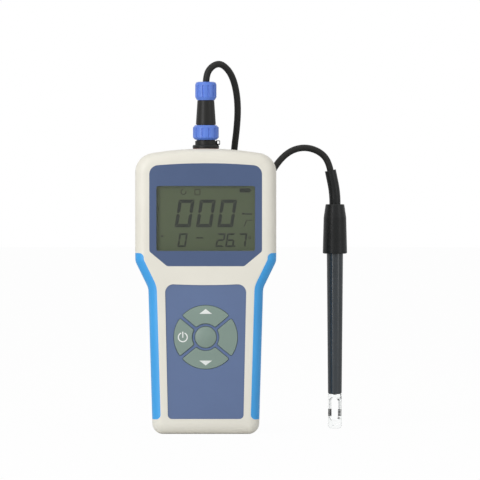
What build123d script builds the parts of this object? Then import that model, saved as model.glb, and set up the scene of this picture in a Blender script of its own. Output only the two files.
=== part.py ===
from build123d import *
import math
import os

# A hand-held conductivity meter standing on its base, with its probe on a plug-in cable.
# The origin is the middle of the flat base. The front faces -Y, +X is to the right, +Z is up.

# Case
case_height = 170.0
case_depth = 32.0
head_half_width = 42.0
waist_half_width = 34.2
base_half_width = 31.7
shoulder_drop = 67.0
shoulder_height = 16.0
crown_drop = 4.6
head_corner_radius = 11.5
shoulder_radius = 8.0
waist_radius = 9.0
base_corner_radius = 6.5
edge_round = 6.5
wall = 2.4
front_wall = 2.9
seam_gap = 0.2

# Side grips
grip_width = 5.2
grip_thickness = 1.8
grip_bottom_z = 9.0
grip_top_rise = 5.0
grip_end_radius = 2.8

# Display panel and window
panel_half_width = 33.5
panel_top_drop = 8.6
panel_corner_drop = 1.6
panel_side_rise = 6.0
panel_bottom_half_width = 22.9
panel_bottom_drop = 2.8
panel_corner_radius = 5.5
panel_chamfer_radius = 2.5
panel_thickness = 0.8
window_half_width = 29.3
window_rise = 0.3
window_height = 38.6
window_corner_radius = 1.2
lens_margin = 1.8
lens_thickness = 1.0

# Liquid crystal display
glass_margin = 3.0
glass_thickness = 2.6
frame_wall = 1.3
strip_depth = 2.2

# Keypad
key_wheel_drop = 31.8
keypad_top_rise = 2.8
keypad_bottom_z = 9.3
keypad_top_half_width = 24.2
keypad_bottom_half_width = 22.5
keypad_top_dip = 0.8
keypad_top_radius = 5.0
keypad_bottom_radius = 2.5
keypad_recess = 0.5
keypad_thickness = 1.2
key_wheel_radius = 18.9
key_inner_radius = 8.1
centre_key_radius = 6.4
key_gap = 2.1
key_gap_angle = 39.5
key_corner_radius = 0.9
key_edge_round = 0.35
key_rise = 0.9
key_travel = 0.8
key_clearance = 0.25
key_wheel_dome = 260.0
centre_key_dome = 22.0
key_flange_overlap = 0.55
key_flange_thickness = 0.8
key_stem_radius = 2.5
key_stem_circle = 13.4
mat_clearance = 0.2
mat_thickness = 1.0
skirt_wall = 0.4
contact_thickness = 0.1

# Circuit board
board_depth = 9.2
board_thickness = 1.6
board_head_half_width = 38.4
board_head_rise = 11.0
board_waist_half_width = 34.2
board_waist_rise = 1.0
board_neck_half_width = 25.2
board_neck_rise = 5.0
board_top_drop = 16.4
board_bottom_z = 12.6
board_corner_radius = 6.0
board_clearance = 0.2
board_upper_screw_x = 36.2
board_upper_screw_drop = 29.0
board_neck_screw_x = 21.8
board_neck_screw_rise = 6.0
board_lower_screw_z = 17.5
board_boss_radius = 2.0
board_screw_radius = 1.0
board_screw_head_radius = 1.9
board_screw_head_height = 1.2
board_screw_length = 5.6

connector_drop = 25.0
connector_width = 12.0
connector_height = 5.0
connector_depth = 4.6
wire_radius = 0.45

# Parts on the back of the board: across, below the case top, width, height, thickness
chips = [
    (-8.0, 42.0, 12.0, 12.0, 1.6),
    (14.0, 52.0, 9.0, 6.0, 1.5),
    (-14.0, 64.0, 8.0, 5.0, 1.5),
    (8.0, 67.0, 5.0, 4.0, 1.4),
]
capacitor_x = 26.0
capacitor_drops = [42.0, 58.0]
capacitor_radius = 3.0
capacitor_height = 5.5

# Case screws
case_upper_screw_x = 31.0
case_upper_screw_drop = 10.8
case_lower_screw_x = 24.6
case_lower_screw_z = 7.4
case_boss_radius = 3.3
case_screw_radius = 1.4
case_screw_head_radius = 2.7
case_screw_head_height = 1.8
case_screw_sink = 4.5
case_screw_length = 17.0
screw_clearance = 0.1
screw_cross_length = 2.9
screw_cross_width = 0.6
screw_cross_depth = 0.9

# Batteries
cell_radius = 7.25
cell_length = 49.2
cell_nub_radius = 2.7
cell_nub_height = 1.3
cell_count = 3
cell_pitch = 15.0
cell_clearance = 0.4
bay_bottom_z = 15.0
bay_wall = 3.0
bay_floor = 1.5
leaf_rise = 5.0
leaf_bend = 1.6
leaf_tip = 1.8
leaf_tip_height = 0.7
contact_plate = 0.4
contact_half_width = 4.2

# Battery door
door_thickness = 2.0
door_gap = 0.3
door_overlap = 1.6
door_corner_radius = 3.0
door_pin_radius = 0.6
door_pin_length = 1.2
door_rib_count = 4
door_rib_pitch = 2.6
door_rib_height = 0.5
door_rib_length = 16.0
door_rib_margin = 5.0
thumb_notch_radius = 6.0

# Panel socket on the top of the case
flange_radius = 7.9
flange_thickness = 2.1
gasket_thickness = 0.4
socket_seat_drop = 0.3
barrel_radius = 5.6
barrel_bore = 4.6
barrel_rise = 11.3
barrel_drop = 9.5
socket_nut_flats = 13.6
socket_nut_thickness = 2.4
insert_depth = 7.7
insert_length = 8.0
pin_radius = 0.5
pin_circle = 1.9
pin_count = 4
pin_depth = 2.3
pin_tail = 4.0
ring_thickness = 2.4
ring_wall = 0.8
lug_reach = 8.5
lug_thickness = 1.8
lug_height = 2.7
lug_eye_width = 1.2
lug_eye_height = 1.5
lug_rim = 0.45

# Plug
nut_play = 0.4
nut_cover = 2.7
nut_radius = 7.7
nut_edge_round = 1.3
nut_lip = 0.8
nut_groove_count = 12
nut_groove_radius = 0.55
nut_groove_stand = 0.05
nut_groove_margin = 1.6
running_gap = 0.1
sleeve_clearance = 2.0
sleeve_wall = 0.9
plug_neck_radius = 5.4
plug_shoulder_gap = 0.3
plug_low_radius = 6.0
plug_high_radius = 5.05
plug_grip_length = 14.5
plug_thread_radius = 4.6
plug_thread_length = 6.4
plug_bore = 3.0
snap_ring_rise = 0.8
snap_ring_thickness = 0.8
snap_ring_depth = 0.5
snap_ring_radius = 6.3
contact_radius = 0.9

# Cable gland
gland_gap = 0.15
gland_height = 10.95
gland_radius = 6.35
gland_low_radius = 5.3
gland_taper_height = 1.8
gland_hole_gap = 0.3
bush_stand = 0.8
bush_seat = 1.4
bush_radius = 3.9

# Cable
cable_radius = 2.0
coil_centre = (3.0, 50.0)
coil_mean_radius = 23.0
coil_section = 8.2
coil_corner = 2.4
tie_thickness = 0.6
tie_gap = 0.3
tie_width = 6.0
tie_angle = 135.0
plug_to_coil_route = [
    (0.0, 0.0, 206.0),
    (0.0, 0.0, 214.0),
    (3.6, 1.1, 219.3),
    (8.2, 2.9, 221.0),
    (12.4, 5.2, 218.3),
    (15.9, 8.0, 213.0),
    (18.2, 11.3, 204.8),
    (19.2, 14.9, 194.2),
    (18.5, 18.5, 182.0),
    (16.6, 21.8, 167.6),
    (16.3, 24.2, 150.0),
    (18.6, 25.6, 129.0),
    (22.8, 26.2, 107.0),
    (27.0, 26.7, 85.0),
    (28.5, 27.2, 64.0),
    (28.7, 28.4, 45.0),
    (28.7, 31.4, 29.4),
    (28.5, 37.6, 18.2),
    (28.15, 46.4, 10.9),
]
coil_to_probe_route = [
    (10.75, 23.2, 3.0),
    (18.0, 22.0, 3.1),
    (23.5, 21.4, 5.3),
    (27.5, 21.0, 9.7),
    (29.4, 20.8, 15.6),
    (29.7, 20.7, 23.6),
    (29.5, 20.6, 36.0),
    (29.4, 20.7, 54.0),
    (29.8, 21.0, 72.0),
    (30.1, 22.0, 91.0),
    (30.4, 24.2, 111.0),
    (31.8, 27.2, 130.5),
    (35.5, 30.2, 147.8),
    (42.4, 32.7, 160.7),
    (50.2, 34.6, 168.4),
    (59.2, 36.3, 170.9),
    (67.9, 37.5, 168.6),
    (73.88, 38.0, 162.96),
    (75.2, 38.0, 156.6),
]

# Probe
probe_x = 78.0
probe_y = 38.0
tip_radius = 4.1
tip_height = 21.0
tip_turn = -15.0
tip_edge_round = 1.6
tip_spigot_radius = 3.1
tip_spigot_height = 7.0
slot_width = 5.4
slot_bottom_z = 4.6
slot_top_z = 19.2
vent_radius = 0.6
vent_z = 2.4
plate_depth = 5.0
plate_height = 4.3
plate_bottom_z = 7.4
plate_thickness = 0.3
lead_radius = 0.3
lead_spread = 3.4
lead_core_spread = 1.4
sensor_radius = 0.8
sensor_top_z = 30.0
collar_top_z = 37.4
shaft_low_radius = 4.2
shaft_high_radius = 4.95
shaft_bore = 3.3
shaft_spigot_height = 6.0
probe_fit = 0.05
cap_bottom_z = 106.2
cap_cone_z = 128.2
cap_top_z = 136.1
cap_low_radius = 7.4
cap_mid_radius = 6.85
cap_top_radius = 5.7
cap_socket_depth = 5.0
cap_cavity_radius = 4.2
cap_cavity_top_z = 124.0
relief_radius = 3.4

# Derived places
front_y = -case_depth / 2
back_y = case_depth / 2
shoulder_top_z = case_height - shoulder_drop
shoulder_bottom_z = shoulder_top_z - shoulder_height
grip_top_z = shoulder_top_z + grip_top_rise
panel_top_z = case_height - panel_top_drop
panel_side_bottom_z = shoulder_top_z + panel_side_rise
panel_bottom_z = shoulder_top_z - panel_bottom_drop
window_bottom_z = panel_side_bottom_z + window_rise
keypad_top_z = shoulder_bottom_z + keypad_top_rise
keypad_centre_z = keypad_top_z - key_wheel_drop
board_head_bottom_z = shoulder_top_z + board_head_rise
board_waist_z = shoulder_top_z + board_waist_rise
board_neck_top_z = shoulder_bottom_z + board_neck_rise
board_top_z = case_height - board_top_drop
board_screw_places = [
    (board_upper_screw_x, case_height - board_upper_screw_drop),
    (board_neck_screw_x, shoulder_bottom_z + board_neck_screw_rise),
    (board_neck_screw_x, board_lower_screw_z),
]
mat_half_width = board_neck_screw_x - board_boss_radius - mat_clearance
connector_z = case_height - connector_drop
case_screw_places = [
    (case_upper_screw_x, case_height - case_upper_screw_drop),
    (case_lower_screw_x, case_lower_screw_z),
]
panel_back_y = front_y + panel_thickness
lens_back_y = panel_back_y + lens_thickness
front_wall_y = front_y + front_wall
keypad_front_y = front_y + keypad_recess
keypad_back_y = keypad_front_y + keypad_thickness
board_front_y = front_y + board_depth
board_back_y = board_front_y + board_thickness
glass_front_y = front_wall_y + 0.1
glass_back_y = glass_front_y + glass_thickness
window_top_z = window_bottom_z + window_height
window_centre_z = (window_bottom_z + window_top_z) / 2
cell_y = back_y - door_thickness - cell_clearance - cell_radius
bay_floor_y = cell_y - cell_radius - cell_clearance
bay_half_width = (cell_count - 1) / 2 * cell_pitch + cell_radius + cell_clearance
bay_length = 2 * contact_plate + cell_length + cell_nub_height + leaf_rise
bay_top_z = bay_bottom_z + bay_length
door_half_width = bay_half_width + door_overlap
door_bottom_z = bay_bottom_z - door_overlap
door_top_z = bay_top_z + door_overlap
door_axis_y = back_y - door_thickness / 2
door_axis_z = door_bottom_z + door_thickness / 2
socket_seat_z = case_height - socket_seat_drop
flange_bottom_z = socket_seat_z + gasket_thickness
flange_top_z = flange_bottom_z + flange_thickness
barrel_top_z = case_height + barrel_rise
barrel_bottom_z = case_height - barrel_drop
insert_face_z = barrel_top_z - insert_depth
insert_back_z = insert_face_z - insert_length
pin_top_z = barrel_top_z - pin_depth
lug_top_z = flange_top_z + lug_height
nut_bottom_z = lug_top_z + nut_play
nut_top_z = barrel_top_z + nut_cover
sleeve_bottom_z = insert_face_z + sleeve_clearance
snap_ring_z = barrel_top_z + snap_ring_rise
plug_shoulder_z = nut_top_z + plug_shoulder_gap
plug_thread_z = plug_shoulder_z + plug_grip_length
plug_thread_top_z = plug_thread_z + plug_thread_length
gland_bottom_z = plug_thread_z + gland_gap
gland_top_z = gland_bottom_z + gland_height
bush_bottom_z = plug_thread_z + bush_seat
bush_top_z = plug_thread_top_z + bush_stand
stem_end_y = board_front_y - contact_thickness - key_travel
coil_lift = tie_thickness + tie_gap


def plate(sketch, front, back):
    """A body of one front-view outline, from the depth front to the depth back."""
    view = Plane((0, back, 0), x_dir=(1, 0, 0), z_dir=(0, -1, 0))
    return extrude(view * sketch, amount=back - front)


def turned(profile):
    """A body of revolution about Z from a list of (radius, height) points."""
    outline = Plane.XZ * make_face(Polyline(*profile, close=True))
    return revolve(outline, Axis.Z)


def tube_z(outer, bore, low, high):
    """A straight tube about Z."""
    return turned([(bore, low), (outer, low), (outer, high), (bore, high)])


def rod_z(radius, low, high, place=(0.0, 0.0)):
    """A straight rod along Z at a place seen from above."""
    return Pos(place[0], place[1], low) * Cylinder(
        radius, high - low, align=(Align.CENTER, Align.CENTER, Align.MIN)
    )


def both_sides(places):
    """The places and their mirror images across the middle plane."""
    return places + [(-x, z) for x, z in places]


def round_corners(face, places, radius):
    """Rounds the corners of a flat outline that lie at the given places."""
    corners = [face.vertices().sort_by_distance((x, z, 0))[0] for x, z in places]
    return fillet(corners, radius)


def case_outline(inset=0.0):
    """The case seen from the front, moved inwards by inset."""
    corner_z = case_height - crown_drop
    right = [
        (base_half_width, 0.0),
        (waist_half_width, shoulder_bottom_z),
        (head_half_width, shoulder_top_z),
        (head_half_width, corner_z),
    ]
    left = [(-x, z) for x, z in reversed(right)]
    edges = Polyline(*right).edges() + Polyline(*left).edges()
    edges.append(ThreePointArc(right[-1], (0.0, case_height), left[0]).edge())
    edges.append(Line(left[-1], right[0]).edge())
    face = make_face(edges)
    face = round_corners(face, both_sides([right[0]]), base_corner_radius)
    face = round_corners(face, both_sides([right[1]]), waist_radius)
    face = round_corners(face, both_sides([right[2]]), shoulder_radius)
    face = round_corners(face, both_sides([right[3]]), head_corner_radius)
    if inset > 0:
        face = offset(face, amount=-inset)
    return face


def envelope(inset, front_inset, back_inset):
    """The case as one rounded block, moved inwards."""
    block = plate(case_outline(inset), front_y + front_inset, back_y - back_inset)
    faces = block.faces().sort_by(Axis.Y)
    return fillet(faces[0].edges() + faces[-1].edges(), edge_round - inset)


def side_band(inner_inset, low, high, radius=0.0):
    """The strip outside an inner outline, on the right side and between two heights."""
    start = base_half_width - inner_inset - 2
    strip = Pos((start + 60) / 2, (low + high) / 2) * Rectangle(60 - start, high - low)
    strip = strip - case_outline(inner_inset)
    if radius > 0:
        for end in (low, high):
            at_end = strip.vertices().filter_by(lambda v, z=end: abs(v.Y - z) < 0.01)
            strip = fillet(at_end.sort_by(Axis.X)[0], radius)
    return plate(strip, front_y - 5, back_y + 5)


def grip(side):
    """A soft side grip that wraps the side of the case, on the side +1 or -1."""
    band = side_band(grip_width, grip_bottom_z, grip_top_z, grip_end_radius)
    body = (envelope(0, 0, 0) & band) - envelope(
        grip_thickness, grip_thickness, grip_thickness
    )
    return body if side > 0 else mirror(body, Plane.YZ)


def case_wall():
    """The whole case wall, hollow, with the seats of both grips let into it."""
    band = side_band(grip_width, grip_bottom_z, grip_top_z, grip_end_radius)
    wide_band = side_band(grip_width + wall, grip_bottom_z - wall, grip_top_z + wall)
    seat_depth = grip_thickness + wall
    thick = wide_band - envelope(seat_depth, seat_depth, seat_depth)
    cavity = envelope(wall, front_wall, wall)
    cavity = cavity - thick - mirror(thick, Plane.YZ)
    seat = band - envelope(grip_thickness, grip_thickness, grip_thickness)
    return envelope(0, 0, 0) - cavity - seat - mirror(seat, Plane.YZ)


def slab(front, back):
    """All space between two depths."""
    return plate(Pos(0, case_height / 2) * Rectangle(300, 500), front, back)


def display_outline():
    """The outline of the display panel."""
    corner_z = panel_top_z - panel_corner_drop
    right = [
        (panel_bottom_half_width, panel_bottom_z),
        (panel_half_width, panel_side_bottom_z),
        (panel_half_width, corner_z),
    ]
    left = [(-x, z) for x, z in reversed(right)]
    edges = Polyline(*right).edges() + Polyline(*left).edges()
    edges.append(ThreePointArc(right[-1], (0.0, panel_top_z), left[0]).edge())
    edges.append(Line(left[-1], right[0]).edge())
    face = make_face(edges)
    face = round_corners(face, both_sides(right[:2]), panel_chamfer_radius)
    return round_corners(face, both_sides(right[2:]), panel_corner_radius)


def window_outline(margin=0.0):
    """The display window grown by a margin."""
    return Pos(0, window_centre_z) * RectangleRounded(
        2 * (window_half_width + margin),
        window_height + 2 * margin,
        window_corner_radius + margin,
    )


def keypad_outline():
    """The outline of the keypad panel, with its slightly hollow top edge."""
    right = [
        (keypad_bottom_half_width, keypad_bottom_z),
        (keypad_top_half_width, keypad_top_z),
    ]
    left = [(-x, z) for x, z in reversed(right)]
    edges = Polyline(*right).edges() + Polyline(*left).edges()
    dip = (0.0, keypad_top_z - keypad_top_dip)
    edges.append(ThreePointArc(right[-1], dip, left[0]).edge())
    edges.append(Line(left[-1], right[0]).edge())
    face = make_face(edges)
    face = round_corners(face, both_sides(right[:1]), keypad_bottom_radius)
    return round_corners(face, both_sides(right[1:]), keypad_top_radius)


def key_outlines(grow=0.0):
    """The five key outlines about the middle of the key wheel, grown by a margin."""
    ring = Circle(key_wheel_radius + grow) - Circle(key_inner_radius - grow)
    for angle in (key_gap_angle, -key_gap_angle):
        ring -= Rot(0, 0, angle) * Rectangle(4 * key_wheel_radius, key_gap - 2 * grow)
    petals = ShapeList()
    for face in ring.faces():
        petal = Sketch() + face
        petals.append(fillet(petal.vertices(), key_corner_radius + grow))
    return {
        "key_up": petals.sort_by(Axis.Y)[-1],
        "key_down": petals.sort_by(Axis.Y)[0],
        "key_power": petals.sort_by(Axis.X)[0],
        "key_right": petals.sort_by(Axis.X)[-1],
        "key_centre": Circle(centre_key_radius + grow),
    }


def stem_places():
    """Where each key's stem stands, seen from the front."""
    return {
        "key_up": (0.0, keypad_centre_z + key_stem_circle),
        "key_down": (0.0, keypad_centre_z - key_stem_circle),
        "key_power": (-key_stem_circle, keypad_centre_z),
        "key_right": (key_stem_circle, keypad_centre_z),
        "key_centre": (0.0, keypad_centre_z),
    }


def key(name):
    """A key cap with its holding flange and the stem that presses the contact."""
    centre = Pos(0, keypad_centre_z)
    top_y = keypad_front_y - key_rise
    flange_front = keypad_back_y + key_clearance
    cap = plate(centre * key_outlines()[name], top_y, flange_front)
    dome = centre_key_dome if name == "key_centre" else key_wheel_dome
    cap = cap & (Pos(0, top_y + dome, keypad_centre_z) * Sphere(dome))
    cap = fillet(cap.faces().sort_by(Axis.Y)[0].edges(), key_edge_round)
    flange_outline = centre * key_outlines(key_flange_overlap)[name]
    flange = plate(flange_outline, flange_front, flange_front + key_flange_thickness)
    stem = plate(
        Pos(*stem_places()[name]) * Circle(key_stem_radius), flange_front, stem_end_y
    )
    return cap + flange + stem


def keypad_panel():
    """The keypad's face plate with an opening for each key."""
    body = plate(keypad_outline(), keypad_front_y, keypad_back_y)
    for outline in key_outlines(key_clearance).values():
        body -= plate(Pos(0, keypad_centre_z) * outline, front_y - 1, keypad_back_y + 1)
    return body


def keypad_mat():
    """The rubber sheet on the board, with a thin skirt round each key's stem."""
    sheet_front = board_front_y - contact_thickness - mat_thickness
    hole = key_stem_radius + 1.7
    rim = key_stem_radius + key_clearance
    skirt_top = sheet_front - 2.2
    sheet = Pos(0, keypad_centre_z) * RectangleRounded(
        2 * mat_half_width, 2 * mat_half_width, 3
    )
    body = plate(sheet, sheet_front, board_front_y - contact_thickness)
    for place in stem_places().values():
        body -= plate(Pos(*place) * Circle(hole), sheet_front - 1, board_front_y + 1)
    outline = Polyline(
        (hole, -sheet_front),
        (hole + skirt_wall, -sheet_front),
        (rim + skirt_wall, -skirt_top),
        (rim, -skirt_top),
        close=True,
    )
    skirt = Rot(90, 0, 0) * revolve(Plane.XZ * make_face(outline), Axis.Z)
    for x, z in stem_places().values():
        body += Pos(x, 0, z) * skirt
    return body


def board_outline():
    """The outline of the main board: a wide head on a narrower neck."""
    right = [
        (board_neck_half_width, board_bottom_z),
        (board_neck_half_width, board_neck_top_z),
        (board_waist_half_width, board_waist_z),
        (board_waist_half_width, board_head_bottom_z - 3),
        (board_head_half_width, board_head_bottom_z),
        (board_head_half_width, board_top_z),
    ]
    left = [(-x, z) for x, z in reversed(right)]
    face = make_face(Polyline(*right, *left, close=True))
    return round_corners(face, both_sides(right[-1:]), board_corner_radius)


def main_board():
    """The main board with its screw holes."""
    body = plate(board_outline(), board_front_y, board_back_y)
    for place in both_sides(board_screw_places):
        hole = Pos(*place) * Circle(board_screw_radius + board_clearance)
        body -= plate(hole, board_front_y - 1, board_back_y + 1)
    return body


def add_front_bosses(body):
    """Adds the board pillars and the case screw pillars of the front shell."""
    for place in both_sides(board_screw_places):
        pillar = Pos(*place) * Circle(board_boss_radius)
        hole = Pos(*place) * Circle(board_screw_radius + screw_clearance / 2)
        hole_front = board_back_y - board_screw_length - 0.5
        body += plate(pillar, front_wall_y - 0.5, board_front_y)
        body -= plate(hole, hole_front, board_front_y + 1)
    for place in both_sides(case_screw_places):
        pillar = Pos(*place) * Circle(case_boss_radius)
        hole = Pos(*place) * Circle(case_screw_radius + screw_clearance / 2)
        body += plate(pillar, front_wall_y - 0.5, seam_gap)
        body -= plate(hole, case_screw_end_y() - 0.5, seam_gap + 1)
    return body


def case_screw_end_y():
    """The depth that the case screws reach to in the front shell."""
    return back_y - case_screw_sink - case_screw_length


def front_shell():
    """The front moulding of the case, with the seats of the panels and the bosses."""
    body = case_wall() & slab(front_y - 5, 0)
    body -= plate(display_outline(), front_y - 1, panel_back_y)
    body -= plate(window_outline(lens_margin), front_y - 1, lens_back_y)
    body -= plate(window_outline(), front_y - 1, front_wall_y + 1)
    body -= plate(keypad_outline(), front_y - 1, keypad_back_y)
    key_hole = Pos(0, keypad_centre_z) * Circle(key_wheel_radius + 1.2)
    body -= plate(key_hole, front_y - 1, front_wall_y + 1)
    body = add_front_bosses(body)
    return cut_socket_hole(body)


def cut_socket_hole(body):
    """Cuts the socket's flat seat and its hole in the top of the case."""
    body -= rod_z(flange_radius + 0.4, socket_seat_z, case_height + 5)
    return body - rod_z(barrel_radius + screw_clearance, barrel_bottom_z, case_height + 5)


def battery_bay():
    """The tub that holds the cells, open at the back, and its free space."""
    centre = Pos(0, (bay_bottom_z + bay_top_z) / 2)
    space = centre * Rectangle(2 * bay_half_width, bay_length)
    outside = centre * Rectangle(
        2 * (bay_half_width + bay_wall), bay_length + 2 * bay_wall
    )
    tub = plate(outside, bay_floor_y - bay_floor, back_y - door_thickness - 0.1)
    return tub, plate(space, bay_floor_y, back_y + 1)


def door_outline(grow=0.0):
    """The battery door's outline grown by a margin."""
    centre_z = (door_bottom_z + door_top_z) / 2
    outline = Pos(0, centre_z) * Rectangle(
        2 * (door_half_width + grow), door_top_z - door_bottom_z + 2 * grow
    )
    top = [(door_half_width + grow, door_top_z + grow)]
    return round_corners(outline, both_sides(top), door_corner_radius)


def battery_door():
    """The battery door: round hinge edge with two pins, a thumb rib pattern at the top."""
    body = plate(door_outline(), back_y - door_thickness, back_y)
    low_edges = body.edges().filter_by(Axis.X).sort_by(Axis.Z)[:2]
    body = fillet(low_edges, door_thickness / 2 - 0.01)
    pin = Pos(0, door_axis_y, door_axis_z) * Rot(0, 90, 0) * Cylinder(
        door_pin_radius, 2 * (door_half_width + door_pin_length)
    )
    for index in range(door_rib_count):
        rib_z = door_top_z - door_rib_margin - index * door_rib_pitch
        bar = Rot(0, 90, 0) * Cylinder(door_rib_height, door_rib_length)
        rib = Pos(0, back_y, rib_z) * bar
        body += rib
    return body + pin


def rear_shell():
    """The rear moulding of the case, with the battery bay and the screw bosses."""
    body = case_wall() & slab(seam_gap, back_y + 5)
    tub, space = battery_bay()
    body = body + tub
    for place in both_sides(case_screw_places):
        pillar = Pos(*place) * Circle(case_boss_radius)
        body += plate(pillar, seam_gap, back_y - 0.5)
    body = body & (envelope(0, 0, 0) + tub)
    body = body - space
    body -= plate(door_outline(door_gap), back_y - door_thickness - 0.1, back_y + 1)
    pin_hole = Pos(0, door_axis_y, door_axis_z) * Rot(0, 90, 0) * Cylinder(
        door_pin_radius + running_gap / 2, 2 * (door_half_width + door_pin_length + 0.3)
    )
    body -= pin_hole
    notch = Pos(0, back_y + thumb_notch_radius - 1.2, door_top_z) * Sphere(thumb_notch_radius)
    body -= notch
    head = case_screw_head_radius + screw_clearance
    for place in both_sides(case_screw_places):
        sink = Pos(*place) * Circle(head)
        hole = Pos(*place) * Circle(case_screw_radius + screw_clearance)
        body -= plate(sink, back_y - case_screw_sink, back_y + 1)
        body -= plate(hole, seam_gap - 1, back_y + 1)
    return cut_socket_hole(body)


def cross_screw(place, head_face_y, length, radius, head_radius, head_height):
    """A pan-head screw driven in from the back, with a cross in its head."""
    head = plate(Circle(head_radius), head_face_y, head_face_y + head_height)
    head = fillet(head.edges().group_by(Axis.Y)[-1], head_height * 0.35)
    body = head + plate(Circle(radius), head_face_y - length, head_face_y)
    for angle in (0, 90):
        arm = Rot(0, 0, angle) * Rectangle(screw_cross_length, screw_cross_width)
        top = head_face_y + head_height
        body -= plate(arm, top - screw_cross_depth, top + 1)
    return Pos(place[0], 0, place[1]) * body


def case_screws():
    """The four screws that hold the case together."""
    return [
        cross_screw(
            place,
            back_y - case_screw_sink,
            case_screw_length,
            case_screw_radius,
            case_screw_head_radius,
            case_screw_head_height,
        )
        for place in both_sides(case_screw_places)
    ]


def board_screws():
    """The six screws that hold the board to the front shell."""
    return [
        cross_screw(
            place,
            board_back_y,
            board_screw_length,
            board_screw_radius,
            board_screw_head_radius,
            board_screw_head_height,
        )
        for place in both_sides(board_screw_places)
    ]


def lcd_glass():
    """The display glass behind the window."""
    glass = Pos(0, window_centre_z) * Rectangle(
        2 * (window_half_width + glass_margin), window_height + 2 * glass_margin
    )
    return plate(glass, glass_front_y, glass_back_y)


def lcd_frame():
    """The frame that holds the display glass against the board."""
    width = 2 * (window_half_width + glass_margin + probe_fit)
    height = window_height + 2 * (glass_margin + probe_fit)
    centre = Pos(0, window_centre_z)
    outside = centre * RectangleRounded(
        width + 2 * frame_wall, height + 2 * frame_wall, frame_wall
    )
    ring = plate(outside - centre * Rectangle(width, height), glass_front_y, board_front_y)
    shelf_hole = centre * Rectangle(width - 6, height - 2 * strip_depth - 3)
    shelf = outside - shelf_hole
    for side in (-1, 1):
        strip_z = window_centre_z + side * (height / 2 - strip_depth)
        shelf -= Pos(0, strip_z) * Rectangle(width - 3.8, strip_depth + 0.2)
    return ring + plate(shelf, glass_back_y, glass_back_y + 1.0)


def lcd_contact_strips():
    """The two rubber strips that carry the signals from the board to the glass."""
    width = 2 * (window_half_width + glass_margin) - 4
    height = window_height + 2 * (glass_margin + probe_fit)
    return [
        plate(
            Pos(0, window_centre_z + side * (height / 2 - strip_depth))
            * Rectangle(width, strip_depth),
            glass_back_y,
            board_front_y,
        )
        for side in (-1, 1)
    ]


def key_contacts():
    """The five contact pads on the board."""
    return [
        plate(
            Pos(*place) * Circle(key_stem_radius + 0.6),
            board_front_y - contact_thickness,
            board_front_y,
        )
        for place in stem_places().values()
    ]


def board_chips():
    """The controller, converter and supply chips on the back of the board."""
    bodies = []
    for x, drop, width, height, thickness in chips:
        outline = Pos(x, case_height - drop) * Rectangle(width, height)
        body = plate(outline, board_back_y, board_back_y + thickness)
        bodies.append(chamfer(body.edges().group_by(Axis.Y)[-1], thickness / 8))
    return bodies


def board_capacitors():
    """The round can capacitors on the back of the board."""
    outline = Circle(capacitor_radius)
    return [
        plate(
            Pos(capacitor_x, case_height - drop) * outline,
            board_back_y,
            board_back_y + capacitor_height,
        )
        for drop in capacitor_drops
    ]


def lead_connector():
    """The board connector that the socket's wires plug into."""
    outline = Pos(0, connector_z) * RectangleRounded(connector_width, connector_height, 0.6)
    return plate(outline, board_back_y, board_back_y + connector_depth)


def cell_places():
    """The middle of each cell seen from the back, and its direction."""
    first = -(cell_count - 1) / 2 * cell_pitch
    return [(first + index * cell_pitch, 1 - 2 * (index % 2)) for index in range(cell_count)]


def battery_cells():
    """The cells, each turned the other way up from its neighbour."""
    profile = [
        (0.0, 0.0),
        (cell_radius - 0.5, 0.0),
        (cell_radius, 0.5),
        (cell_radius, cell_length - 0.5),
        (cell_radius - 0.5, cell_length),
        (cell_nub_radius, cell_length),
        (cell_nub_radius, cell_length + cell_nub_height),
        (0.0, cell_length + cell_nub_height),
    ]
    cell = turned(profile)
    low_z = bay_bottom_z + contact_plate + leaf_rise
    high_z = bay_top_z - contact_plate - leaf_rise
    cells = []
    for x, direction in cell_places():
        if direction > 0:
            cells.append(Pos(x, cell_y, low_z) * cell)
        else:
            cells.append(Pos(x, cell_y, high_z) * Rot(180, 0, 0) * cell)
    return cells


def battery_springs():
    """The sprung leaf contacts, one at the flat end of each cell."""
    half = contact_half_width
    base = contact_plate
    tip_z = base + leaf_rise - probe_fit
    tip_y = half - contact_plate
    outline = make_face(
        Polyline(
            (-half, 0.0),
            (half, 0.0),
            (half, base),
            (leaf_bend - half, base),
            (tip_y - contact_plate, tip_z - leaf_tip_height),
            (tip_y - contact_plate, tip_z),
            (tip_y - leaf_tip, tip_z),
            (-half, 2 * base),
            close=True,
        )
    )
    leaf = extrude(Plane.YZ * outline, amount=half, both=True)
    springs = []
    for x, direction in cell_places():
        if direction > 0:
            springs.append(Pos(x, cell_y, bay_bottom_z) * leaf)
        else:
            springs.append(Pos(x, cell_y, bay_top_z) * Rot(180, 0, 0) * leaf)
    return springs


def battery_contacts():
    """The flat contact plates, one at the button end of each cell."""
    plates = []
    for x, direction in cell_places():
        middle_z = bay_bottom_z + contact_plate / 2
        if direction > 0:
            middle_z = bay_top_z - contact_plate / 2
        plates.append(
            Pos(x, cell_y, middle_z)
            * Box(2 * contact_half_width, 2 * contact_half_width, contact_plate)
        )
    return plates


def pin_places():
    """The places of the socket's pins seen from above."""
    return [
        (
            pin_circle * math.cos(math.radians(45 + 360 * index / pin_count)),
            pin_circle * math.sin(math.radians(45 + 360 * index / pin_count)),
        )
        for index in range(pin_count)
    ]


def socket_gasket():
    """The soft ring under the socket's flange."""
    return tube_z(flange_radius - 0.1, barrel_radius + 0.1, socket_seat_z, flange_bottom_z)


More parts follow.
